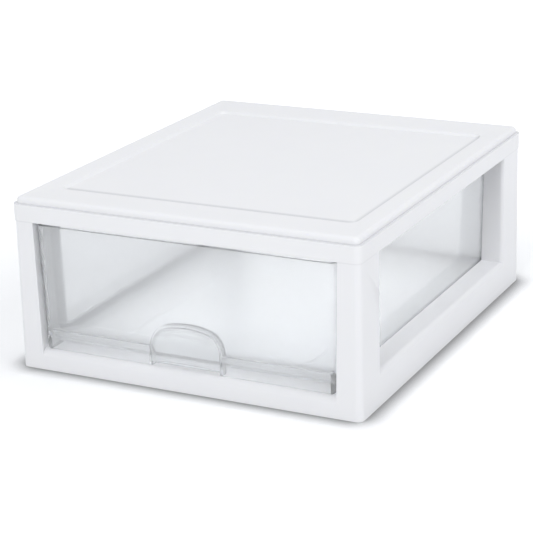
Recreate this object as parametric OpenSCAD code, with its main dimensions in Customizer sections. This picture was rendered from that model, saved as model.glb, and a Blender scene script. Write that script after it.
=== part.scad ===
// Stackable drawer box: a white moulded frame in two pieces, a base with four
// open corner posts and a top cover, with one clear drawer that slides out of
// the front. Units on top of each other nest: the base rim of the upper one
// sits on the ledge round the raised cap of the lower one.
// Millimetres. X is to the right, -Y is the front, +Z is up. The origin is on
// the ground, under the middle of the box.

/* [Overall] */
// Width of the box, left to right
body_w = 365; // [300:1:460]
// Depth of the box, front to back
body_d = 432; // [340:1:520]
// Height of the box, ground to the crown of the cap
body_h = 174; // [130:1:320]
// Radius of the upright corners
corner_r = 7; // [5:0.5:12]
// Thickness of the white moulded walls
skin = 2.4; // [1.8:0.1:3]

/* [Base frame] */
// How far each base wall leans in between the ground and its top edge
wall_lean = 0.9; // [0.3:0.1:1.4]
// Height of the front sill
sill_z = 21; // [18:0.5:30]
// Radius of the soft front edge of the sill
sill_r = 8; // [5:0.5:10]
// Depth of the sill and of the posts' jambs behind it
jamb_d = 29; // [20:1:36]
// Width of each front post
post_w = 22.5; // [18:0.5:30]
// How much the front opening narrows between its top and the sill, each side
opening_lean = 2.5; // [1:0.1:4]
// Radius of the lower corners of the front opening
opening_r = 4; // [2:0.5:8]
// Height of the side rails, under the side windows
side_rail_z = 34; // [32:0.5:45]
// Front face to the front edge of the side windows
window_front = 46; // [42:1:70]
// Back face to the back edge of the side windows
window_back = 51; // [36:1:80]
// Height of the back rail, under the back window
back_rail_z = 28; // [26:0.5:45]
// Width of each back post, beside the back window
back_post_w = 33; // [30:1:70]
// Radius of the soft outer edge round each window
window_r = 5; // [3:0.5:7]
// Depth of the back rail and posts, which stop the drawer
back_frame_d = 22.5; // [18:0.5:30]
// Height of the runner ribs above the floor panel
runner_h = 2.4; // [1.5:0.1:4]
// Width of each runner rib
runner_w = 4; // [3:0.5:8]
// Distance between the two runner ribs
runner_gauge = 200; // [120:1:240]
// Thickness of the stiffening ribs under the floor
rib_t = 1.8; // [1.2:0.1:2.5]
// Depth of the stiffening ribs under the floor
rib_h = 7; // [4:0.5:8]
// Distance between the three ribs that run left to right
rib_pitch_y = 108; // [60:1:130]
// Distance between the two ribs that run front to back
rib_pitch_x = 122; // [60:1:160]

/* [Top cover] */
// Height of the cover's skirt, which is the header of every opening
skirt_h = 17.2; // [12:0.2:24]
// Width of the stacking ledge between the skirt's face and the cap
ledge_w = 2.8; // [2.6:0.1:4]
// Height of the cap above the stacking ledge
cap_h = 6.6; // [5:0.2:8]
// Radius of the cap's rounded upper edge
cap_edge_r = 4; // [1.5:0.5:4]
// Fall of the cap's border from its crown to the recessed panel
border_fall = 1.8; // [0.5:0.1:2.2]
// Width of the border beside the recessed panel, from the side face
side_border = 25.5; // [18:0.5:40]
// Width of the border in front of and behind the recessed panel
end_border = 47; // [30:0.5:70]
// Depth of the recessed panel below its border
recess_depth = 2.6; // [1.5:0.1:3]
// Radius of the recessed panel's corners
recess_r = 7; // [4:0.5:20]
// How far each corner plug reaches down into its post
plug_h = 12; // [6:1:20]
// Length of each corner plug's longer leaf
plug_leaf = 24; // [12:1:26]
// Clearance round each corner plug
plug_gap = 0.5; // [0.3:0.1:1]

/* [Drawer] */
// Wall of the clear drawer
drawer_t = 2.3; // [1.8:0.1:3]
// Side clearance between the drawer and the frame
side_gap = 1.4; // [1:0.1:3]
// Clearance between the drawer's underside and what it slides on
lift_gap = 0.3; // [0.2:0.05:0.6]
// Clearance between the closed drawer and the back frame
back_gap = 0.6; // [0.4:0.1:2]
// How far the drawer's front lies behind the frame's front face, at its rim
front_setback = 2; // [1.5:0.5:6]
// Gap between the drawer's rim and the skirt above it
rim_gap = 2.6; // [2:0.1:10]
// Radius of the curve between the drawer's back and its floor
drawer_r = 17; // [10:1:20]
// Radius of the curve between the drawer's front and its floor
toe_r = 30; // [24:1:36]
// Radius of the drawer's upright corners and of its lower side edges
drawer_corner_r = 6; // [6:0.5:9]
// Distance from the drawer's back to the front of its stop lugs
lug_setback = 40; // [25:1:90]
// Length of each stop lug
lug_l = 16; // [8:1:24]
// How far each lug reaches into the rail, beyond the drawer's clearance
lug_reach = 5; // [3:0.5:10]
// Height of each lug
lug_h = 6; // [4:0.5:8]
// Clearance between a lug and the rail above it
lug_gap = 0.9; // [0.5:0.1:1.2]

/* [Cup pull] */
// Half the width of the arched pull
pull_half_w = 38.5; // [28:0.5:50]
// Height of the arch's crown above the drawer's underside
pull_crown = 43.8; // [38:0.2:60]
// Radius of the arch's shoulders
pull_shoulder_r = 22; // [14:1:26]
// Radius of the arch's crown
pull_crown_r = 90; // [60:1:140]
// How far the lip stands out from the drawer's front
pull_proud = 4; // [2:0.5:4.5]
// Plan radius of the lip
pull_lip_r = 230; // [200:5:500]
// Radius of the dome between the lip's crease and the arch
pull_dome_r = 166; // [140:1:260]
// Height of the dome's centre above the drawer's underside
pull_dome_z = -5.5; // [-15:0.5:4]
// Depth of the finger pocket behind the drawer's front
pocket_d = 8; // [6:0.5:16]
// Height of the lip's lower edge above the underside, at its middle
mouth_h = 7.7; // [7:0.1:14]
// Height of the lip's lower edge above the underside, at its ends
mouth_end_h = 4.2; // [4:0.1:12]

/* [Hidden] */
$fn = 96;
// Sides of the pull's big, shallow curves
smooth_fn = 192;
// Overlap that makes neighbouring cuts and unions clean
eps = 0.01;
// Reach of a cut past the surface that it opens
past = 2;
// Least radius of an inner curve, where the wall is thicker than the outer one
fillet_min = 0.5;
// Plastic left between the hollow behind the apron and the round corners
toe_web = 0.5;
// How far that hollow's curve starts below the drawer's underside
toe_bite = 0.15;
// Steps of each round stretch of the pull's arch
arch_steps = 12;

// Levels
ledge_z = body_h - cap_h;
base_h = ledge_z - skirt_h;
floor_top = sill_z - runner_h;
floor_under = floor_top - skin;

// The drawer's way through the frame
passage_half_top = body_w / 2 - post_w;
passage_half_sill = passage_half_top - opening_lean;
passage_slope = opening_lean / (base_h - sill_z);
passage_back = body_d / 2 - back_frame_d;

// The drawer
drawer_z = sill_z + lift_gap;
drawer_h = base_h - rim_gap - drawer_z;
drawer_lean = passage_slope * drawer_h;
drawer_half_w = passage_half_sill + passage_slope * lift_gap - side_gap;
drawer_front = -body_d / 2 + front_setback;
drawer_back = passage_back - back_gap;
drawer_d = drawer_back - drawer_front - 2 * drawer_lean;
drawer_mid = (drawer_back + drawer_front) / 2;

// The pull: its plane is the drawer's front at the height of the dome's foot
pull_y = drawer_front + drawer_lean * (1 - pull_crown / 2 / drawer_h);
lug_z = side_rail_z - skin - lug_gap - lug_h;
lug_front = drawer_back - lug_setback;

// Travel from closed until the lugs meet the jambs, less a hair of play
stop_play = 0.5;
drawer_travel = lug_front - (-body_d / 2 + jamb_d) - stop_play;

// --- Shapes that repeat ---------------------------------------------------

// Box with rounded upright corners whose walls lean out by lean over h
module leaning_box(w, d, h, r, lean = 0) {
    for (sx = [-1, 1], sy = [-1, 1])
        translate([sx * (w / 2 - r), sy * (d / 2 - r), 0])
            cylinder(h = h, r1 = r, r2 = r + lean);
    along_y(d - 2 * r) leaning_wall_profile(w / 2, h, lean);
    along_x(w - 2 * r) leaning_wall_profile(d / 2, h, lean);
}

module leaning_wall_profile(half, h, lean) {
    polygon([[-half, 0], [half, 0], [half + lean, h], [-half - lean, h]]);
}

// Extrudes a profile drawn in X and Z along Y, centred
module along_y(length) {
    rotate([90, 0, 0]) linear_extrude(length, center = true) children();
}

// Extrudes a profile drawn in Y and Z along X, centred
module along_x(length) {
    rotate([90, 0, 90]) linear_extrude(length, center = true) children();
}

// Box with rounded upright corners and a rounded upper edge
module crowned_box(w, d, h, r, edge) {
    for (sx = [-1, 1], sy = [-1, 1])
        translate([sx * (w / 2 - r), sy * (d / 2 - r), 0])
            rotate_extrude() crowned_half_profile(r, h, edge);
    along_y(d - 2 * r) crowned_profile(w / 2, h, edge);
    along_x(w - 2 * r) crowned_profile(d / 2, h, edge);
}

module crowned_half_profile(half, h, edge) {
    square([half, h - edge]);
    square([half - edge, h]);
    translate([half - edge, h - edge]) intersection() {
        circle(edge);
        square(edge);
    }
}

module crowned_profile(half, h, edge) {
    crowned_half_profile(half, h, edge);
    mirror([1, 0]) crowned_half_profile(half, h, edge);
}

// --- Base frame -----------------------------------------------------------

module base_outside() {
    leaning_box(body_w, body_d, base_h, corner_r, -wall_lean);
}

module base_inside() {
    translate([0, 0, -eps])
        leaning_box(body_w - 2 * skin, body_d - 2 * skin, base_h + 2 * eps,
                    corner_r - skin, -wall_lean);
}

// Cross-section of the drawer's way, grown by off on its sides and below
module passage_profile(off = 0) {
    r = opening_r + off;
    low = sill_z - off;
    high = base_h + past;
    half_low = passage_half_sill + off;
    half_high = half_low + passage_slope * (high - sill_z);
    half_r = half_low + passage_slope * (r - off);
    polygon([[-half_r, low + r], [half_r, low + r], [half_high, high], [-half_high, high]]);
    translate([-half_low + r, low]) square([2 * (half_low - r), r + eps]);
    for (s = [-1, 1])
        translate([s * (half_r - r), low + r]) circle(r);
}

module passage(front, back, off = 0) {
    translate([0, (front + back) / 2, 0]) along_y(back - front) passage_profile(off);
}

// Space of a window in the wall at +X, grown by off: a straight hole from
// span[0] to span[1] above rail_z, whose outer edge flares out softly
module window_form(face, span, rail_z, off = 0) {
    deep = back_frame_d + post_w;
    intersection() {
        translate([0, 0, rail_z - window_r - past])
            linear_extrude(base_h + 2 * past - rail_z + window_r)
                window_plan(face, span, off, deep);
        translate([0, (span[0] + span[1]) / 2, 0])
            along_y(span[1] - span[0] + 2 * window_r + 2 * past)
                window_section(face, rail_z, off, deep);
    }
}

module window_plan(face, span, off, deep) {
    translate([face - deep, span[0] - off]) square([deep + past, span[1] - span[0] + 2 * off]);
    translate([face, span[1]]) window_flare(off);
    translate([face, span[0]]) mirror([0, 1]) window_flare(off);
}

module window_section(face, rail_z, off, deep) {
    translate([face - deep, rail_z - off]) square([deep + past, base_h + 2 * past - rail_z]);
    translate([face, rail_z]) mirror([0, 1]) window_flare(off);
}

// Corner that the soft edge of a window takes away from its wall
module window_flare(off) {
    translate([-window_r, 0]) difference() {
        square([window_r + past, window_r]);
        translate([0, window_r]) circle(window_r - off);
    }
}

module side_window(off = 0) {
    window_form(body_w / 2, [-body_d / 2 + window_front, body_d / 2 - window_back],
                side_rail_z, off);
}

module back_window(off = 0) {
    half = body_w / 2 - back_post_w;
    rotate([0, 0, 90]) window_form(body_d / 2, [-half, half], back_rail_z, off);
}

// The sill's soft front edge: a quarter tube between the posts
module sill_roll() {
    front = -body_d / 2;
    translate([0, front + sill_r, sill_z - sill_r])
        along_x(2 * passage_half_sill) difference() {
            translate([-sill_r, 0]) square(sill_r);
            circle(sill_r - skin);
        }
}

module sill_roll_cut() {
    front = -body_d / 2;
    translate([0, front + sill_r, sill_z - sill_r])
        along_x(2 * passage_half_sill) difference() {
            translate([-sill_r - past, 0]) square(sill_r + past);
            circle(sill_r);
        }
}

module floor_panel() {
    front = -body_d / 2 + jamb_d - skin;
    back = body_d / 2 - skin / 2;
    translate([-body_w / 2 + skin / 2, front, floor_under])
        cube([body_w - skin, back - front, skin]);
    translate([-passage_half_sill, front, floor_under])
        cube([2 * passage_half_sill, skin, sill_z - floor_under]);
}

module runners() {
    front = -body_d / 2 + jamb_d - eps;
    for (s = [-1, 1])
        translate([s * runner_gauge / 2 - runner_w / 2, front, floor_top - eps])
            cube([runner_w, passage_back - front, runner_h + eps]);
}

module floor_ribs() {
    for (row = [-1 : 1])
        translate([-body_w / 2 + skin / 2, row * rib_pitch_y - rib_t / 2, floor_under - rib_h])
            cube([body_w - skin, rib_t, rib_h + eps]);
    for (s = [-1, 1])
        translate([s * rib_pitch_x / 2 - rib_t / 2, -body_d / 2 + skin / 2, floor_under - rib_h])
            cube([rib_t, body_d - skin, rib_h + eps]);
}

module base_frame() {
    front = -body_d / 2;
    color("white") difference() {
        union() {
            difference() {
                base_outside();
                base_inside();
            }
            intersection() {
                base_outside();
                union() {
                    side_window(skin);
                    mirror([1, 0, 0]) side_window(skin);
                    back_window(skin);
                    passage(front, front + jamb_d, skin);
                    floor_panel();
                    floor_ribs();
                }
            }
            sill_roll();
            runners();
        }
        side_window();
        mirror([1, 0, 0]) side_window();
        back_window();
        passage(front - past, passage_back);
        sill_roll_cut();
    }
}

// --- Top cover ------------------------------------------------------------

module cover_outside() {
    translate([0, 0, base_h]) leaning_box(body_w, body_d, skirt_h, corner_r);
    translate([0, 0, ledge_z - eps])
        crowned_box(body_w - 2 * ledge_w, body_d - 2 * ledge_w, cap_h + eps,
                    corner_r - ledge_w / 2, cap_edge_r);
}

// Cut that lets the border fall from the crown to the panel's edge
module border_dish() {
    crown = ledge_w + cap_edge_r;
    low = body_h - border_fall;
    intersection() {
        along_y(body_d) dish_profile(body_w / 2 - side_border, body_w / 2 - crown, low);
        along_x(body_w) dish_profile(body_d / 2 - end_border, body_d / 2 - crown, low);
    }
}

module dish_profile(inner, outer, low) {
    slope = (body_h - low) / (outer - inner);
    grow = past / slope;
    polygon([[-inner, low], [inner, low], [outer + grow, body_h + past], [-outer - grow, body_h + past]]);
}

// The panel's recess, with walls that slope as steeply as they are deep
module panel_recess() {
    depth = recess_depth + past;
    translate([0, 0, body_h - border_fall - recess_depth])
        leaning_box(body_w - 2 * (side_border + recess_depth),
                    body_d - 2 * (end_border + recess_depth),
                    depth, recess_r, depth);
}

// Hollow under the cover: flat under the panel, deeper under the border
module cover_hollow() {
    panel_under = body_h - border_fall - recess_depth - skin;
    border_under = body_h - border_fall - skin;
    inset = ledge_w + skin;
    difference() {
        union() {
            translate([0, 0, base_h - eps])
                leaning_box(body_w - 2 * skin, body_d - 2 * skin, ledge_z - skin - base_h + eps,
                            corner_r - skin);
            translate([0, 0, base_h])
                leaning_box(body_w - 2 * inset, body_d - 2 * inset, border_under - base_h,
                            corner_r - skin - ledge_w / 2);
        }
        translate([-body_w / 2 + side_border, -body_d / 2 + end_border, panel_under])
            cube([body_w - 2 * side_border, body_d - 2 * end_border, body_h]);
    }
}

// L-shaped leaf that locates the cover in the hollow of one post
module corner_plug() {
    out_x = body_w / 2 - skin - wall_lean - plug_gap;
    out_y = body_d / 2 - skin - wall_lean - plug_gap;
    in_x = body_w / 2 - post_w + skin + plug_gap;
    top = ledge_z - skin + eps;
    low = base_h - plug_h;
    corner_clear = corner_r - skin;
    translate([out_x - skin, out_y - corner_clear - plug_leaf, low])
        cube([skin, plug_leaf, top - low]);
    translate([in_x, out_y - skin, low])
        cube([out_x - corner_clear - in_x, skin, top - low]);
}

module top_cover() {
    color("white") {
        difference() {
            cover_outside();
            border_dish();
            panel_recess();
            cover_hollow();
        }
        for (mx = [0, 1], my = [0, 1])
            mirror([mx, 0, 0]) mirror([0, my, 0]) corner_plug();
    }
}

// --- Drawer ---------------------------------------------------------------

// Tub shape of the drawer, shrunk by off: its walls lean out, wide curves
// join the floor to the back and, inside, to the front, and tighter ones to
// the sides. Outside, the front goes straight down as an apron
module tub(off = 0) {
    tall = drawer_h + (off > 0 ? past : 0) - off;
    lean = drawer_lean * tall / drawer_h;
    w = 2 * (drawer_half_w - off);
    d = drawer_d - 2 * off;
    translate([0, drawer_mid, drawer_z + off]) intersection() {
        leaning_box(w, d, tall, drawer_corner_r, lean);
        along_y(2 * d) for (s = [0, 1])
            mirror([s, 0]) tub_end(w / 2, max(drawer_corner_r - off, fillet_min), tall, lean);
        along_x(2 * w) {
            tub_end(d / 2, max(drawer_r - off, fillet_min), tall, lean);
            mirror([1, 0]) tub_end(d / 2, off > 0 ? toe_r - off : fillet_min, tall, lean);
        }
    }
}

// One half of the tub's cross-section: a floor, a curve and room for the wall
module tub_end(half, r, tall, lean) {
    translate([-past, -r]) square([half - r + past, 2 * r]);
    translate([-past, r]) square([half + lean + 2 * past, tall]);
    translate([half - r, r]) circle(r);
}

// Hollow between the apron and the curve behind it, open below, which stops
// short of the round corners
module toe_hollow() {
    slope = drawer_lean / drawer_h;
    front = -drawer_d / 2 + drawer_t;
    middle = -drawer_d / 2 + toe_r;
    end = drawer_half_w - drawer_corner_r - toe_web;
    translate([0, drawer_mid, drawer_z]) along_x(2 * end) difference() {
        polygon([[front + slope * past, -past], [middle, -past],
                 [middle, toe_r], [front - slope * toe_r, toe_r]]);
        translate([middle, toe_r - toe_bite]) circle(toe_r);
    }
}

// Points of an arc about (cx, cz), from one angle to another
function arc_points(cx, cz, r, from, to, steps) =
    [for (i = [0 : steps]) let (a = from + (to - from) * i / steps)
        [cx + r * cos(a), cz + r * sin(a)]];

// Arched outline of the pull, shrunk by off, open downwards: upright sides,
// two shoulders and a flatter crown that runs into them
module arch_profile(off = 0) {
    half = pull_half_w - off;
    x = pull_half_w - pull_shoulder_r;
    crown_z = pull_crown - pull_crown_r;
    turn = acos(x / (pull_crown_r - pull_shoulder_r));
    z = crown_z + (pull_crown_r - pull_shoulder_r) * sin(turn);
    polygon(concat(
        [[-half, -past], [half, -past]],
        arc_points(x, z, pull_shoulder_r - off, 0, turn, arch_steps),
        arc_points(0, crown_z, pull_crown_r - off, turn, 180 - turn, arch_steps),
        arc_points(-x, z, pull_shoulder_r - off, 180 - turn, 180, arch_steps)
    ));
}

// Body of the pull, shrunk by off: an arch that runs back into the drawer,
// with a curved lip in front and a dome from the lip up to the arch
module pull_form(off = 0) {
    back = pull_y + pocket_d + drawer_t - off;
    reach = pull_proud + pocket_d + 2 * drawer_t;
    dome_back = pull_dome_r - pull_dome_bulge();
    intersection() {
        translate([0, back - reach, drawer_z]) rotate([90, 0, 0])
            translate([0, 0, -reach]) linear_extrude(2 * reach) arch_profile(off);
        translate([0, pull_y - pull_proud + pull_lip_r, drawer_z - 2 * past])
            cylinder(h = pull_crown + 3 * past, r = pull_lip_r - off, $fn = smooth_fn);
        translate([0, pull_y + dome_back, drawer_z + pull_dome_z])
            sphere(pull_dome_r - off, $fn = smooth_fn);
    }
}

// How far the dome's sphere stands in front of the pull's plane: it meets
// that plane at the crown of the arch
function pull_dome_bulge() =
    pull_dome_r - sqrt(pow(pull_dome_r, 2) - pow(pull_crown - pull_dome_z, 2));

// Finger mouth under the lip, whose lower edge is a shallow arch
module pull_mouth() {
    half = pull_half_w - drawer_t;
    rise = mouth_h - mouth_end_h;
    r = (pow(pull_half_w, 2) + pow(rise, 2)) / (2 * rise);
    front = pull_y - pull_proud - past;
    depth = pull_y + pocket_d - front;
    translate([0, front + depth / 2, drawer_z]) along_y(depth) intersection() {
        translate([0, mouth_h - r]) circle(r, $fn = smooth_fn);
        translate([-half, -past]) square([2 * half, mouth_h + 2 * past]);
    }
}

// Lug low on the drawer's side that runs under the side rail's ledge and
// meets the jamb when the drawer is out
module stop_lug() {
    root = drawer_half_w - drawer_t;
    tip = passage_half_sill + lug_reach;
    translate([root, lug_front, lug_z]) cube([tip - root, lug_l, lug_h]);
}

module drawer() {
    color("aliceblue", 0.45) difference() {
        union() {
            difference() {
                tub();
                tub(drawer_t);
                toe_hollow();
            }
            intersection() {
                tub();
                pull_form();
            }
            intersection() {
                pull_form();
                translate([-body_w / 2, -body_d, drawer_z + mouth_end_h]) cube([body_w, body_d, body_h]);
            }
            difference() {
                union() {
                    stop_lug();
                    mirror([1, 0, 0]) stop_lug();
                }
                tub(drawer_t / 2);
            }
        }
        pull_form(drawer_t);
        pull_mouth();
    }
}

base_frame();
top_cover();
drawer();
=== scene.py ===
"""Looks of a stackable drawer box: a white moulded base and cover and one clear sliding drawer.

Everything is in metres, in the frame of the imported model: X to the right, -Y the front, +Z up,
with the origin on the ground under the middle of the box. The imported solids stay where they
are. Each is shown by a copy of itself whose sharp edges are softened as a mould softens them,
dressed in procedural plastic. The marks that the mould leaves on hidden sides are added here.
"""

from __future__ import annotations

import logging
import math
from dataclasses import dataclass
from enum import Enum
from typing import Union

import bmesh
import bpy
from mathutils import Color, Matrix, Vector

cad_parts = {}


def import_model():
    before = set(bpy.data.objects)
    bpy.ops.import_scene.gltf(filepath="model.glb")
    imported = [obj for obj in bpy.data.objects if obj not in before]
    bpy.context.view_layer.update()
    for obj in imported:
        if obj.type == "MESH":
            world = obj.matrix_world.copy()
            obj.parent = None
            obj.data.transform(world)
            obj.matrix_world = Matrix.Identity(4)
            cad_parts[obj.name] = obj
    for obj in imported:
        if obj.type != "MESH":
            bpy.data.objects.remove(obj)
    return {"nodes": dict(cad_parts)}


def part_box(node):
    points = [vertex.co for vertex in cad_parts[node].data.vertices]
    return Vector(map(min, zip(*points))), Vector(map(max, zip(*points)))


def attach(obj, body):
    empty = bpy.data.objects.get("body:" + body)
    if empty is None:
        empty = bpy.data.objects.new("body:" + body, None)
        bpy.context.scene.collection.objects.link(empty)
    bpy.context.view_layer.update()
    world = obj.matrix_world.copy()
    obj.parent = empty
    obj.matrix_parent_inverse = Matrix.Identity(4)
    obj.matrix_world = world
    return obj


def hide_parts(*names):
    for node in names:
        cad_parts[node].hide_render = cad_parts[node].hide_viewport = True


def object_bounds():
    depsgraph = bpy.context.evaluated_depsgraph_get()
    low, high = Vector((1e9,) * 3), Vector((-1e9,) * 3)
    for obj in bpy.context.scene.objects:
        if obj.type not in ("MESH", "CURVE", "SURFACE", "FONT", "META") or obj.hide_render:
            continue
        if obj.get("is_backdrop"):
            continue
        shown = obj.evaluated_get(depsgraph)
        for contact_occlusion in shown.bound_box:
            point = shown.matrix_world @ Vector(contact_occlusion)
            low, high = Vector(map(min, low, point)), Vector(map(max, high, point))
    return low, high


LOG = logging.getLogger("drawer_box")
WHITE = (1.0, 1.0, 1.0, 1.0)
ScreenColour = tuple[int, int, int]
Triple = tuple[float, float, float]
Socket = bpy.types.NodeSocket
Sockets = bpy.types.bpy_prop_collection
Value = Union[float, tuple[float, ...], Socket]


class Body(Enum):
    """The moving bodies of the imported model."""

    FRAME = "frame"
    DRAWER = "drawer"


class Slot(Enum):
    """The record's material slots."""

    BASE = "white_frame"
    COVER = "white_cover"
    DRAWER = "clear_drawer"


def linear(colour: ScreenColour) -> tuple[float, float, float, float]:
    """Turns an 8-bit screen colour into a linear one.

    Args:
        colour: Red, green and blue, 0 to 255.

    Returns:
        The linear colour, with an alpha of 1.
    """
    shares = [channel / 255 for channel in colour]
    return (*Color(shares).from_srgb_to_scene_linear(), 1.0)


def add_object(name: str, data: bpy.types.ID) -> bpy.types.Object:
    """Adds an object to the scene.

    Args:
        name: Its name.
        data: Its mesh, lens or lamp.

    Returns:
        The new object.
    """
    made = bpy.data.objects.new(name, data)
    bpy.context.scene.collection.objects.link(made)
    return made


def keep_result(piece: bpy.types.Object) -> None:
    """Makes what a piece's modifiers show its plain mesh, and removes them.

    Args:
        piece: The piece.
    """
    shown = piece.evaluated_get(bpy.context.evaluated_depsgraph_get())
    result = bpy.data.meshes.new_from_object(shown)
    piece.modifiers.clear()
    piece.data = result


class Graph:
    """Builds a shader or geometry node tree with few words."""

    # Where a Mix node keeps its two colours and their mix.
    first_colour = 6
    second_colour = 7
    mixed_colour = 2

    def __init__(self, tree: bpy.types.NodeTree) -> None:
        """Starts on an empty tree.

        Args:
            tree: The tree to fill. What it holds is removed.
        """
        self.tree = tree
        tree.nodes.clear()

    def node(self, kind: str, **settings: object) -> bpy.types.Node:
        """Adds a node.

        Args:
            kind: The node's type name.
            **settings: Properties of the node.

        Returns:
            The new node.
        """
        made = self.tree.nodes.new(kind)
        for key, value in settings.items():
            setattr(made, key, value)
        return made

    def feed(self, socket: Socket, value: Value) -> None:
        """Links a socket, or sets it.

        Args:
            socket: The socket that takes the value.
            value: Another socket, or a plain number or colour.
        """
        if isinstance(value, Socket):
            self.tree.links.new(value, socket)
        else:
            socket.default_value = value

    def math(self, operation: str, first: Value, second: Value = 0.0) -> Socket:
        """Adds a Math node.

        Args:
            operation: The node's operation.
            first: Its first value.
            second: Its second value.

        Returns:
            The result's socket.
        """
        made = self.node("ShaderNodeMath", operation=operation)
        self.feed(made.inputs[0], first)
        self.feed(made.inputs[1], second)
        return made.outputs[0]

    def spread(
        self, value: Value, low: Value, high: Value, start: Value = 0.0, end: Value = 1.0
    ) -> Socket:
        """Maps value from start..end to low..high, clamped.

        Args:
            value: The value to map.
            low: Result at start.
            high: Result at end.
            start: Lower end of the value's range.
            end: Upper end of the value's range.

        Returns:
            The result's socket.
        """
        made = self.node("ShaderNodeMapRange")
        self.feed(made.inputs["Value"], value)
        self.feed(made.inputs["From Min"], start)
        self.feed(made.inputs["From Max"], end)
        self.feed(made.inputs["To Min"], low)
        self.feed(made.inputs["To Max"], high)
        return made.outputs["Result"]

    def blend(self, share: Value, first: Value, second: Value) -> Socket:
        """Mixes two colours.

        Args:
            share: How much of the second colour shows.
            first: The first colour.
            second: The second colour.

        Returns:
            The mixed colour's socket.
        """
        made = self.node("ShaderNodeMix", data_type="RGBA")
        self.feed(made.inputs["Factor"], share)
        self.feed(made.inputs[self.first_colour], first)
        self.feed(made.inputs[self.second_colour], second)
        return made.outputs[self.mixed_colour]

    def mix_shaders(self, share: Socket, first: Socket, second: Socket) -> Socket:
        """Mixes two shaders.

        Args:
            share: How much of the second shader shows.
            first: The first shader.
            second: The second shader.

        Returns:
            The mixed shader's socket.
        """
        made = self.node("ShaderNodeMixShader")
        for place, socket in enumerate((share, first, second)):
            self.feed(made.inputs[place], socket)
        return made.outputs[0]

    def noise(self, place: Socket, scale: Value, detail: float) -> Socket:
        """Adds a Noise texture.

        Args:
            place: The coordinates it reads.
            scale: Cells a metre.
            detail: Octaves.

        Returns:
            The noise's value, 0 to 1.
        """
        made = self.node("ShaderNodeTexNoise")
        self.feed(made.inputs["Vector"], place)
        self.feed(made.inputs["Scale"], scale)
        self.feed(made.inputs["Detail"], detail)
        return made.outputs[0]

    def place(self) -> Socket:
        """Reads where a point lies on its object, in metres."""
        return self.node("ShaderNodeTexCoord").outputs["Object"]


class EffectGroup:
    """A shader node group that several finishes share."""

    name = "effect"
    inputs: tuple[tuple[str, str, object], ...] = ()
    outputs: tuple[tuple[str, str], ...] = ()

    def tree(self) -> bpy.types.NodeTree:
        """Makes the group once.

        Returns:
            The group's tree, the same one on every call.
        """
        made = bpy.data.node_groups.get(self.name)
        if made is not None:
            return made
        made = bpy.data.node_groups.new(self.name, "ShaderNodeTree")
        for label, kind, value in self.inputs:
            socket = made.interface.new_socket(label, in_out="INPUT", socket_type=kind)
            socket.default_value = value
        for label, kind in self.outputs:
            made.interface.new_socket(label, in_out="OUTPUT", socket_type=kind)
        graph = Graph(made)
        given = graph.node("NodeGroupInput").outputs
        out = graph.node("NodeGroupOutput").inputs
        self.fill(graph, given, out)
        return made

    def fill(self, graph: Graph, given: Sockets, out: Sockets) -> None:
        """Builds the nodes between the group's inputs and outputs.

        Args:
            graph: The group's graph.
            given: What the group is given.
            out: What the group has to feed.
        """
        raise NotImplementedError

    def use(self, graph: Graph, **values: Value) -> Sockets:
        """Places the group in a material.

        Args:
            graph: The material's graph.
            **values: Inputs by name, with _ for a space.

        Returns:
            The group's outputs.
        """
        made = graph.node("ShaderNodeGroup", node_tree=self.tree())
        for key, value in values.items():
            graph.feed(made.inputs[key.replace("_", " ")], value)
        return made.outputs


class MouldedGrain(EffectGroup):
    """Skin of a moulded plastic part: faint flow mottling and a fine, even grain."""

    name = "moulded grain"
    inputs = (
        ("Tone", "NodeSocketColor", WHITE),
        ("Shade", "NodeSocketColor", WHITE),
        ("Mottle Scale", "NodeSocketFloat", 14.0),
        ("Grain Scale", "NodeSocketFloat", 1400.0),
        ("Roughness", "NodeSocketFloat", 0.4),
        ("Roughness Spread", "NodeSocketFloat", 0.05),
        ("Grain Height", "NodeSocketFloat", 1.0),
        ("Wave Height", "NodeSocketFloat", 1.0),
    )
    outputs = (
        ("Color", "NodeSocketColor"),
        ("Roughness", "NodeSocketFloat"),
        ("Height", "NodeSocketFloat"),
    )
    mottle_detail = 4.0
    patch_scale = 60.0
    patch_detail = 3.0
    patch_middle = 0.5
    grain_detail = 1.0
    wave_scale = 22.0
    wave_detail = 1.0

    def fill(self, graph: Graph, given: Sockets, out: Sockets) -> None:
        """Mixes slow flow lines, patches of gloss and the mould's own grain.

        Args:
            graph: The group's graph.
            given: What the group is given.
            out: What the group has to feed.
        """
        place = graph.place()
        mottle = graph.noise(place, given["Mottle Scale"], self.mottle_detail)
        patches = graph.noise(place, self.patch_scale, self.patch_detail)
        grain = graph.noise(place, given["Grain Scale"], self.grain_detail)
        wave = graph.noise(place, self.wave_scale, self.wave_detail)
        graph.feed(out["Color"], graph.blend(mottle, given["Tone"], given["Shade"]))
        off_middle = graph.math("SUBTRACT", patches, self.patch_middle)
        uneven = graph.math("MULTIPLY", off_middle, given["Roughness Spread"])
        graph.feed(out["Roughness"], graph.math("ADD", given["Roughness"], uneven))
        fine = graph.math("MULTIPLY", grain, given["Grain Height"])
        slow = graph.math("MULTIPLY", wave, given["Wave Height"])
        graph.feed(out["Height"], graph.math("ADD", fine, slow))


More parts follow.
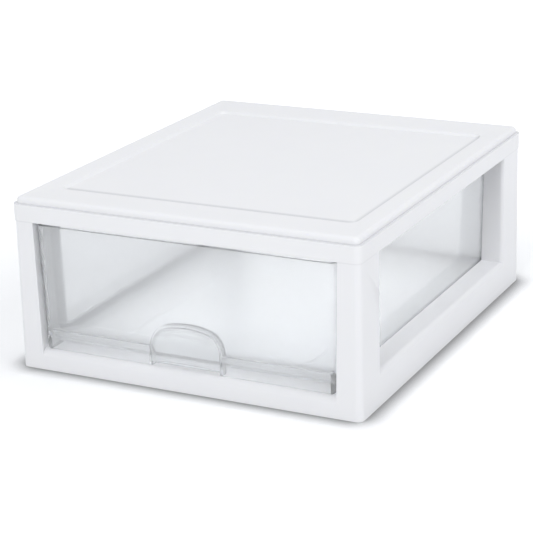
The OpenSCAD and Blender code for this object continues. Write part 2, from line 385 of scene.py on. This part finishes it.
class HandlingMarks(EffectGroup):
    """Faint hairline scuffs and finger smudges that come with handling."""

    name = "handling marks"
    inputs = (
        ("Hairlines", "NodeSocketFloat", 0.5),
        ("Smudges", "NodeSocketFloat", 0.5),
    )
    outputs = (("Mask", "NodeSocketFloat"),)
    hair_turn = (0.3, 0.5, 0.7)
    hair_stretch = (60.0, 900.0, 240.0)
    hair_scale = 1.0
    hair_detail = 1.0
    hair_start = 0.68
    hair_end = 0.76
    smudge_scale = 26.0
    smudge_detail = 3.0
    smudge_start = 0.55
    smudge_end = 0.75

    def fill(self, graph: Graph, given: Sockets, out: Sockets) -> None:
        """Draws the hairlines as stretched noise and the smudges as soft patches.

        Args:
            graph: The group's graph.
            given: What the group is given.
            out: What the group has to feed.
        """
        place = graph.place()
        turned = graph.node("ShaderNodeMapping")
        graph.feed(turned.inputs["Vector"], place)
        graph.feed(turned.inputs["Rotation"], self.hair_turn)
        graph.feed(turned.inputs["Scale"], self.hair_stretch)
        hair_noise = graph.noise(turned.outputs[0], self.hair_scale, self.hair_detail)
        hair = graph.spread(hair_noise, 0.0, 1.0, self.hair_start, self.hair_end)
        smudge_noise = graph.noise(place, self.smudge_scale, self.smudge_detail)
        smudge = graph.spread(smudge_noise, 0.0, 1.0, self.smudge_start, self.smudge_end)
        hairs = graph.math("MULTIPLY", hair, given["Hairlines"])
        smudges = graph.math("MULTIPLY", smudge, given["Smudges"])
        graph.feed(out["Mask"], graph.math("MAXIMUM", hairs, smudges))


class SeamDustAndRecessShade(EffectGroup):
    """Grey of dust and painted shade along two level seams, and painted shade at a recess's front
    and right foot.
    """

    name = "corner dust and painted shade"
    inputs = (
        ("Upper Seam", "NodeSocketFloat", 0.0),
        ("Lower Seam", "NodeSocketFloat", 0.0),
        ("Seam Width", "NodeSocketFloat", 0.001),
        ("Recess Half X", "NodeSocketFloat", 0.1),
        ("Recess Half Y", "NodeSocketFloat", 0.1),
        ("Upper Share", "NodeSocketFloat", 0.2),
        ("Lower Share", "NodeSocketFloat", 0.2),
        ("Recess Share", "NodeSocketFloat", 0.2),
    )
    outputs = (("Mask", "NodeSocketFloat"),)
    front_solid = 0.0075
    front_end = 0.0125
    right_solid = 0.0015
    right_end = 0.0055

    def fill(self, graph: Graph, given: Sockets, out: Sockets) -> None:
        """Takes the strongest of the seam lines, which are dust and painted shade, and the recess
        lines, which are painted shade.

        Args:
            graph: The group's graph.
            given: What the group is given.
            out: What the group has to feed.
        """
        axes = graph.node("ShaderNodeSeparateXYZ")
        graph.feed(axes.inputs[0], graph.place())
        across, along, height = (axes.outputs[axis] for axis in "XYZ")
        # Seam lines: grey of dust and painted shade in the creases at two heights.
        seams = []
        for level, share in (("Upper Seam", "Upper Share"), ("Lower Seam", "Lower Share")):
            off = graph.math("ABSOLUTE", graph.math("SUBTRACT", height, given[level]))
            seams.append(graph.spread(off, given[share], 0.0, 0.0, given["Seam Width"]))
        half_x, half_y = given["Recess Half X"], given["Recess Half Y"]
        share = given["Recess Share"]
        # Painted shade: grey inside the recess along its front and right foot only, where shade
        # falls.
        from_front = graph.math("ADD", along, half_y)
        from_right = graph.math("SUBTRACT", half_x, across)
        front = graph.spread(from_front, share, 0.0, self.front_solid, self.front_end)
        right = graph.spread(from_right, share, 0.0, self.right_solid, self.right_end)
        within_x = graph.math("LESS_THAN", graph.math("ABSOLUTE", across), half_x)
        within_y = graph.math("LESS_THAN", graph.math("ABSOLUTE", along), half_y)
        within = graph.math("MULTIPLY", within_x, within_y)
        recess_shade = graph.math("MULTIPLY", graph.math("MAXIMUM", front, right), within)
        graph.feed(out["Mask"], graph.math("MAXIMUM", graph.math("MAXIMUM", *seams), recess_shade))


@dataclass(frozen=True)
class Plastic:
    """What each moulded plastic has: a tone that varies, a grained skin and marks of handling."""

    name: str
    tone: ScreenColour
    shade: ScreenColour
    roughness: float
    roughness_spread: float
    worn_roughness: float
    grain_scale: float
    grain_height: float
    wave_height: float
    bump_depth: float
    hairlines: float
    smudges: float

    def material(self) -> bpy.types.Material:
        """Makes the material.

        Returns:
            The material, the same one on every call.
        """
        made = bpy.data.materials.get(self.name)
        if made is not None:
            return made
        made = bpy.data.materials.new(self.name)
        made.use_nodes = True
        graph = Graph(made.node_tree)
        graph.feed(graph.node("ShaderNodeOutputMaterial").inputs["Surface"], self.surface(graph))
        return made

    def surface(self, graph: Graph) -> Socket:
        """Builds the nodes of the plastic.

        Args:
            graph: The material's graph.

        Returns:
            The finished shader's socket.
        """
        raise NotImplementedError

    def colour(self, graph: Graph, plain: Socket) -> Socket:
        """Gives the colour that shows.

        Args:
            graph: The material's graph.
            plain: The clean plastic's colour.

        Returns:
            The same colour, or one that something lies on.
        """
        return plain

    def shader(self, graph: Graph) -> bpy.types.Node:
        """Starts the shader with the plastic's colour, gloss and grain.

        Args:
            graph: The material's graph.

        Returns:
            The Principled shader.
        """
        skin = MouldedGrain().use(
            graph,
            Tone=linear(self.tone),
            Shade=linear(self.shade),
            Roughness=self.roughness,
            Roughness_Spread=self.roughness_spread,
            Grain_Scale=self.grain_scale,
            Grain_Height=self.grain_height,
            Wave_Height=self.wave_height,
        )
        marks = HandlingMarks().use(graph, Hairlines=self.hairlines, Smudges=self.smudges)
        worn = graph.spread(marks["Mask"], skin["Roughness"], self.worn_roughness)
        bump = graph.node("ShaderNodeBump")
        graph.feed(bump.inputs["Distance"], self.bump_depth)
        graph.feed(bump.inputs["Height"], skin["Height"])
        made = graph.node("ShaderNodeBsdfPrincipled")
        graph.feed(made.inputs["Base Color"], self.colour(graph, skin["Color"]))
        graph.feed(made.inputs["Roughness"], worn)
        graph.feed(made.inputs["Normal"], bump.outputs[0])
        return made


@dataclass(frozen=True)
class WhitePlastic(Plastic):
    """Opaque white moulded plastic with a satin skin, and grey of dust and painted shade in its
    corners.
    """

    tone: ScreenColour = (240, 240, 242)
    shade: ScreenColour = (238, 238, 240)
    roughness: float = 0.4
    roughness_spread: float = 0.1
    worn_roughness: float = 0.52
    grain_scale: float = 1500.0
    grain_height: float = 1.0
    wave_height: float = 3.0
    bump_depth: float = 0.00002
    hairlines: float = 0.5
    smudges: float = 0.35
    glow_depth: Triple = (0.004, 0.004, 0.005)
    glow_share: float = 0.12
    glow_scale: float = 1.0
    # Grey of dust and painted shade along the seams, and painted shade at the recess's front and
    # right foot.
    dust_and_shade: ScreenColour = (150, 152, 158)
    upper_seam: float = 0.1674
    lower_seam: float = 0.1502
    seam_width: float = 0.001
    recess_half: tuple[float, float] = (0.1544, 0.1664)
    upper_share: float = 0.24
    lower_share: float = 0.16
    recess_share: float = 0.34

    def surface(self, graph: Graph) -> Socket:
        """Builds the nodes of the plastic.

        Args:
            graph: The material's graph.

        Returns:
            The finished shader's socket.
        """
        made = self.shader(graph)
        graph.feed(made.inputs["Subsurface Weight"], self.glow_share)
        graph.feed(made.inputs["Subsurface Radius"], self.glow_depth)
        graph.feed(made.inputs["Subsurface Scale"], self.glow_scale)
        return made.outputs[0]

    def colour(self, graph: Graph, plain: Socket) -> Socket:
        """Lays the dust and the painted shade on the plastic's colour.

        Args:
            graph: The material's graph.
            plain: The clean plastic's colour.

        Returns:
            The colour that shows.
        """
        half_x, half_y = self.recess_half
        # Painted shade: seam lines of dust and shade, and recess lines of shade only, laid into the
        # colour.
        dust_and_shade_lines = SeamDustAndRecessShade().use(
            graph,
            Upper_Seam=self.upper_seam,
            Lower_Seam=self.lower_seam,
            Seam_Width=self.seam_width,
            Recess_Half_X=half_x,
            Recess_Half_Y=half_y,
            Upper_Share=self.upper_share,
            Lower_Share=self.lower_share,
            Recess_Share=self.recess_share,
        )
        return graph.blend(dust_and_shade_lines["Mask"], plain, linear(self.dust_and_shade))


@dataclass(frozen=True)
class ClearPlastic(Plastic):
    """Clear polystyrene, a little milky, with faint flow ripples and finger smudges."""

    tone: ScreenColour = (247, 248, 249)
    shade: ScreenColour = (245, 246, 247)
    roughness: float = 0.1
    roughness_spread: float = 0.04
    worn_roughness: float = 0.16
    grain_scale: float = 1400.0
    grain_height: float = 0.02
    wave_height: float = 2.0
    bump_depth: float = 0.00004
    hairlines: float = 0.6
    smudges: float = 0.8
    shadow_tint: ScreenColour = (248, 249, 250)
    clearness: float = 0.84
    refraction: float = 1.57

    def surface(self, graph: Graph) -> Socket:
        """Builds the nodes of the plastic, which throws only a faint shadow.

        Args:
            graph: The material's graph.

        Returns:
            The finished shader's socket.
        """
        made = self.shader(graph)
        graph.feed(made.inputs["IOR"], self.refraction)
        graph.feed(made.inputs["Transmission Weight"], self.clearness)
        through = graph.node("ShaderNodeBsdfTransparent")
        graph.feed(through.inputs["Color"], linear(self.shadow_tint))
        shadow = graph.node("ShaderNodeLightPath").outputs["Is Shadow Ray"]
        return graph.mix_shaders(shadow, made.outputs[0], through.outputs[0])


@dataclass
class Moulding:
    """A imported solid, shown by a copy whose sharp edges are softened."""

    node: str
    piece: str
    body: Body
    slot: Slot
    finish: Plastic
    edge_width: float = 0.0005
    edge_steps: int = 2
    edge_angle: float = math.radians(28)
    merge_distance: float = 2e-6
    flat_weight: int = 100

    def build(self, nodes: dict[str, bpy.types.Object]) -> bpy.types.Object:
        """Builds, dresses and seats the piece.

        Args:
            nodes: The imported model's objects by node name.

        Returns:
            The finished piece.
        """
        made = add_object(self.piece, self.merged_mesh(nodes[self.node].data))
        self.soften(made)
        made.data.materials.clear()
        made.data.materials.append(self.finish.material())
        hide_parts(self.node)
        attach(made, self.body.value)
        return made

    def merged_mesh(self, source: bpy.types.Mesh) -> bpy.types.Mesh:
        """Copies a mesh of loose triangles and merges their corners.

        Args:
            source: The node's mesh, which is left as it is.

        Returns:
            The new mesh.
        """
        work = bmesh.new()
        work.from_mesh(source)
        bmesh.ops.remove_doubles(work, verts=work.verts, dist=self.merge_distance)
        bmesh.ops.dissolve_degenerate(work, edges=work.edges, dist=self.merge_distance)
        made = bpy.data.meshes.new(self.piece)
        work.to_mesh(made)
        work.free()
        custom = made.attributes.get("custom_normal")
        if custom is not None:
            made.attributes.remove(custom)
        return made

    def soften(self, made: bpy.types.Object) -> None:
        """Bevels the sharp edges, and shades the rest smooth.

        Args:
            made: The piece, whose mesh is replaced by the softened one.
        """
        made.data.shade_smooth()
        bevel = made.modifiers.new("soft edges", "BEVEL")
        bevel.width = self.edge_width
        bevel.segments = self.edge_steps
        bevel.limit_method = "ANGLE"
        bevel.angle_limit = self.edge_angle
        bevel.miter_outer = "MITER_ARC"
        level = made.modifiers.new("flat faces", "WEIGHTED_NORMAL")
        level.mode = "FACE_AREA"
        level.weight = self.flat_weight
        keep_result(made)


@dataclass(frozen=True)
class PinMark:
    """Round witness that a mould's ejector pin leaves: a flat disc a hair proud of the wall."""

    radius: float = 0.004
    depth: float = 0.00015
    sides: int = 24


@dataclass
class PinMarks:
    """Grid of ejector marks on one hidden face, made by geometry nodes."""

    piece: str
    body: Body
    slot: Slot
    finish: Plastic
    centre: Triple
    span: tuple[float, float]
    count: tuple[int, int]
    mark: PinMark = PinMark()

    def tree(self) -> tuple[bpy.types.NodeTree, dict[str, str]]:
        """Builds the node tree that lays a disc on every point of a grid.

        Returns:
            The tree, and the identifier of each of its inputs by name.
        """
        made = bpy.data.node_groups.new(self.piece + " grid", "GeometryNodeTree")
        names: dict[str, str] = {}
        for label, kind in (
            ("Span X", "NodeSocketFloat"),
            ("Span Y", "NodeSocketFloat"),
            ("Count X", "NodeSocketInt"),
            ("Count Y", "NodeSocketInt"),
            ("Mark Radius", "NodeSocketFloat"),
            ("Mark Depth", "NodeSocketFloat"),
        ):
            socket = made.interface.new_socket(label, in_out="INPUT", socket_type=kind)
            names[label] = socket.identifier
        made.interface.new_socket("Geometry", in_out="OUTPUT", socket_type="NodeSocketGeometry")
        graph = Graph(made)
        given = graph.node("NodeGroupInput").outputs
        grid = graph.node("GeometryNodeMeshGrid")
        graph.feed(grid.inputs["Size X"], given["Span X"])
        graph.feed(grid.inputs["Size Y"], given["Span Y"])
        graph.feed(grid.inputs["Vertices X"], given["Count X"])
        graph.feed(grid.inputs["Vertices Y"], given["Count Y"])
        disc = graph.node("GeometryNodeMeshCylinder")
        graph.feed(disc.inputs["Vertices"], self.mark.sides)
        graph.feed(disc.inputs["Radius"], given["Mark Radius"])
        graph.feed(disc.inputs["Depth"], given["Mark Depth"])
        laid = graph.node("GeometryNodeInstanceOnPoints")
        graph.feed(laid.inputs["Points"], grid.outputs["Mesh"])
        graph.feed(laid.inputs["Instance"], disc.outputs["Mesh"])
        moved = graph.node("GeometryNodeTransform")
        graph.feed(moved.inputs["Geometry"], laid.outputs[0])
        graph.feed(moved.inputs["Translation"], self.centre)
        real = graph.node("GeometryNodeRealizeInstances")
        graph.feed(real.inputs[0], moved.outputs[0])
        dressed = graph.node("GeometryNodeSetMaterial")
        graph.feed(dressed.inputs["Geometry"], real.outputs[0])
        dressed.inputs["Material"].default_value = self.finish.material()
        graph.feed(graph.node("NodeGroupOutput").inputs[0], dressed.outputs[0])
        return made, names

    def build(self) -> bpy.types.Object:
        """Runs the tree and keeps its result as a plain mesh.

        Returns:
            The finished piece.
        """
        tree, names = self.tree()
        made = add_object(self.piece, bpy.data.meshes.new(self.piece))
        laying = made.modifiers.new("marks", "NODES")
        laying.node_group = tree
        laying[names["Span X"]], laying[names["Span Y"]] = self.span
        laying[names["Count X"]], laying[names["Count Y"]] = self.count
        laying[names["Mark Radius"]] = self.mark.radius
        laying[names["Mark Depth"]] = self.mark.depth
        keep_result(made)
        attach(made, self.body.value)
        return made


@dataclass(frozen=True)
class PhotoCamera:
    """Camera at the photograph's viewing angle, worked out from the box's edges."""

    azimuth: float = math.radians(26.907)
    elevation: float = math.radians(18.622)
    roll: float = math.radians(-1.612)
    distance: float = 1.842
    target: Triple = (-0.00636, -0.02501, 0.06564)
    focal_px: float = 1796.7
    frame_px: int = 533
    sensor_mm: float = 36.0

    def build(self) -> None:
        """Makes the camera and hands it to the scene."""
        lens = bpy.data.cameras.new("photo_camera")
        lens.sensor_width = self.sensor_mm
        lens.lens = self.sensor_mm * self.focal_px / self.frame_px
        made = add_object("photo_camera", lens)
        level = math.cos(self.elevation)
        forward = Vector((
            -math.sin(self.azimuth) * level,
            math.cos(self.azimuth) * level,
            -math.sin(self.elevation),
        ))
        level_right = Vector((math.cos(self.azimuth), math.sin(self.azimuth), 0.0))
        level_up = level_right.cross(forward)
        right = level_right * math.cos(self.roll) + level_up * math.sin(self.roll)
        up = level_up * math.cos(self.roll) - level_right * math.sin(self.roll)
        turned = Matrix((right, up, -forward)).transposed().to_4x4()
        stand = Vector(self.target) - forward * self.distance
        made.matrix_world = Matrix.Translation(stand) @ turned
        bpy.context.scene.camera = made


@dataclass(frozen=True)
class SoftLamp:
    """An even area lamp, seen neither by the camera nor through clear plastic."""

    name: str
    place: Triple
    size: tuple[float, float]
    power: float
    beam: float = math.pi

    def build(self, aim: Vector) -> bpy.types.Object:
        """Makes the lamp.

        Args:
            aim: The point that it lights.

        Returns:
            The lamp object.
        """
        data = bpy.data.lights.new(self.name, "AREA")
        data.shape = "RECTANGLE"
        data.size, data.size_y = self.size
        data.energy = self.power
        data.spread = self.beam
        made = add_object(self.name, data)
        made.location = self.place
        made.rotation_mode = "QUATERNION"
        made.rotation_quaternion = (aim - Vector(self.place)).to_track_quat("-Z", "Y")
        made.visible_camera = False
        made.visible_transmission = False
        return made


@dataclass(frozen=True)
class Studio:
    """White sweep with soft light: the floor keeps the shadow, deepened by a painted contact shadow
    at the box's foot, and the far ground shows white.
    """

    ambient: float = 0.67
    ambient_tint: Triple = (0.945, 0.965, 1.0)
    floor_size: float = 12.0
    floor_bounce: float = 0.9
    floor_seen: float = 1.12
    far_seen: float = 1.9
    near_reach: float = 0.3
    far_reach: float = 1.2
    contact_reach: float = 0.022
    contact_shade: float = 0.26
    contact_start: float = 0.5
    contact_samples: int = 16
    lamps: tuple[SoftLamp, ...] = (
        SoftLamp("high_soft_box", (0.1, 0.1, 2.2), (1.3, 1.3), 8.0),
        SoftLamp("front_soft_box", (0.3, -2.2, 0.95), (0.5, 0.5), 11.0),
        SoftLamp("right_soft_box", (2.1, -0.1, 1.2), (0.5, 0.5), 7.5),
    )
    glow_drop: float = 0.012
    glow_inset: float = 0.05
    glow_power: float = 0.47
    glow_beam: float = math.radians(90)

    def build(self, aim: Vector) -> None:
        """Builds the floor, the world and the lamps.

        Args:
            aim: The point that the lamps light.
        """
        self.world()
        self.floor()
        for lamp in self.lamps:
            lamp.build(aim)
        self.cover_glow()
        bpy.context.scene.view_settings.view_transform = "Standard"

    def cover_glow(self) -> None:
        """Lights the inside as the cover's thin white wall does, which lets some light through."""
        low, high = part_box("top_cover")
        size = (high.x - low.x - 2 * self.glow_inset, high.y - low.y - 2 * self.glow_inset)
        middle = (low + high) / 2
        place = (middle.x, middle.y, high.z - self.glow_drop)
        lamp = SoftLamp("light_through_cover", place, size, self.glow_power, self.glow_beam)
        lamp.build(Vector((middle.x, middle.y, 0.0))).visible_glossy = False

    def world(self) -> None:
        """Makes the world: plain white to the eye and in reflections, softer as a light."""
        made = bpy.data.worlds.new("studio")
        bpy.context.scene.world = made
        made.use_nodes = True
        graph = Graph(made.node_tree)
        lit = graph.node("ShaderNodeBackground")
        graph.feed(lit.inputs["Color"], (*self.ambient_tint, 1.0))
        graph.feed(lit.inputs["Strength"], self.ambient)
        seen = graph.node("ShaderNodeBackground")
        graph.feed(seen.inputs["Color"], WHITE)
        mixed = graph.mix_shaders(self.looking(graph), lit.outputs[0], seen.outputs[0])
        graph.feed(graph.node("ShaderNodeOutputWorld").inputs["Surface"], mixed)

    @staticmethod
    def looking(graph: Graph) -> Socket:
        """Tells rays that look from rays that light.

        Args:
            graph: The tree to add to.

        Returns:
            1 for camera, mirror and glass rays, and 0 for the rest.
        """
        rays = graph.node("ShaderNodeLightPath").outputs
        direct = graph.math("MAXIMUM", rays["Is Camera Ray"], rays["Is Transmission Ray"])
        return graph.math("MAXIMUM", direct, rays["Is Glossy Ray"])

    def floor(self) -> None:
        """Makes the floor: a matt sheet that is whiter to the eye than it is as a reflector."""
        work = bmesh.new()
        bmesh.ops.create_grid(work, x_segments=1, y_segments=1, size=self.floor_size / 2)
        mesh = bpy.data.meshes.new("floor")
        work.to_mesh(mesh)
        work.free()
        made = add_object("floor", mesh)
        surface = bpy.data.materials.new("matt white floor")
        surface.use_nodes = True
        graph = Graph(surface.node_tree)
        matt = graph.node("ShaderNodeBsdfDiffuse")
        shown = graph.spread(self.looking(graph), self.floor_bounce, self.floor_shown(graph))
        graph.feed(matt.inputs["Color"], shown)
        graph.feed(graph.node("ShaderNodeOutputMaterial").inputs["Surface"], matt.outputs[0])
        mesh.materials.append(surface)
        made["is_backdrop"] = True

    def floor_shown(self, graph: Graph) -> Socket:
        """Gives how white the floor looks: whiter far off, and darker where the box stands, by a
        painted contact shadow.

        Args:
            graph: The floor's graph.

        Returns:
            The whiteness's socket.
        """
        distance = graph.node("ShaderNodeVectorMath", operation="LENGTH")
        graph.feed(distance.inputs[0], graph.place())
        reach = distance.outputs["Value"]
        white = graph.spread(reach, self.floor_seen, self.far_seen, self.near_reach, self.far_reach)
        # Painted contact shadow: the floor's colour darkens with occlusion close to the box.
        contact_occlusion = graph.node("ShaderNodeAmbientOcclusion", samples=self.contact_samples)
        graph.feed(contact_occlusion.inputs["Distance"], self.contact_reach)
        contact = graph.spread(contact_occlusion.outputs["AO"], self.contact_shade, 1.0, self.contact_start)
        return graph.math("MULTIPLY", white, contact)


@dataclass
class DrawerBox:
    """The whole box: its three mouldings and the marks that the moulds left on them."""

    nodes: dict[str, bpy.types.Object]
    white_base: Plastic = WhitePlastic("white base plastic", recess_share=0.0)
    white_cover: Plastic = WhitePlastic("white cover plastic", tone=(241, 241, 242), roughness=0.44)
    clear: Plastic = ClearPlastic("clear drawer plastic")
    drawer_edge: float = 0.0004
    floor_under: float = 0.01615
    cover_under: float = 0.16715
    floor_pin_span: tuple[float, float] = (0.242, 0.324)
    cover_pin_span: tuple[float, float] = (0.24, 0.28)
    pin_count: tuple[int, int] = (3, 4)

    def mouldings(self) -> tuple[Moulding, ...]:
        """Lists the three mouldings.

        Returns:
            The base, the cover and the drawer.
        """
        return (
            Moulding("base_frame", "base_moulding", Body.FRAME, Slot.BASE, self.white_base),
            Moulding("top_cover", "cover_moulding", Body.FRAME, Slot.COVER, self.white_cover),
            Moulding(
                "drawer",
                "drawer_moulding",
                Body.DRAWER,
                Slot.DRAWER,
                self.clear,
                edge_width=self.drawer_edge,
            ),
        )

    def marks(self) -> tuple[PinMarks, ...]:
        """Lists the ejector marks.

        Returns:
            The marks in the bays under the floor, and the grid under the cover.
        """
        return (
            PinMarks(
                "floor_pin_marks",
                Body.FRAME,
                Slot.BASE,
                self.white_base,
                (0.0, 0.0, self.floor_under),
                self.floor_pin_span,
                self.pin_count,
            ),
            PinMarks(
                "cover_pin_marks",
                Body.FRAME,
                Slot.COVER,
                self.white_cover,
                (0.0, 0.0, self.cover_under),
                self.cover_pin_span,
                self.pin_count,
            ),
        )

    def build(self) -> list[bpy.types.Object]:
        """Builds every piece in order.

        Returns:
            The finished pieces.
        """
        pieces = [moulding.build(self.nodes) for moulding in self.mouldings()]
        return pieces + [mark.build() for mark in self.marks()]


def main() -> None:
    """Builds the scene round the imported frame."""
    logging.basicConfig(level=logging.INFO, format="%(name)s: %(message)s")
    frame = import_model()
    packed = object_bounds()
    PhotoCamera().build()
    Studio().build((packed[0] + packed[1]) / 2)
    for piece in DrawerBox(frame["nodes"]).build():
        LOG.info("%s: %d faces", piece.name, len(piece.data.polygons))


if __name__ == "__main__":
    main()
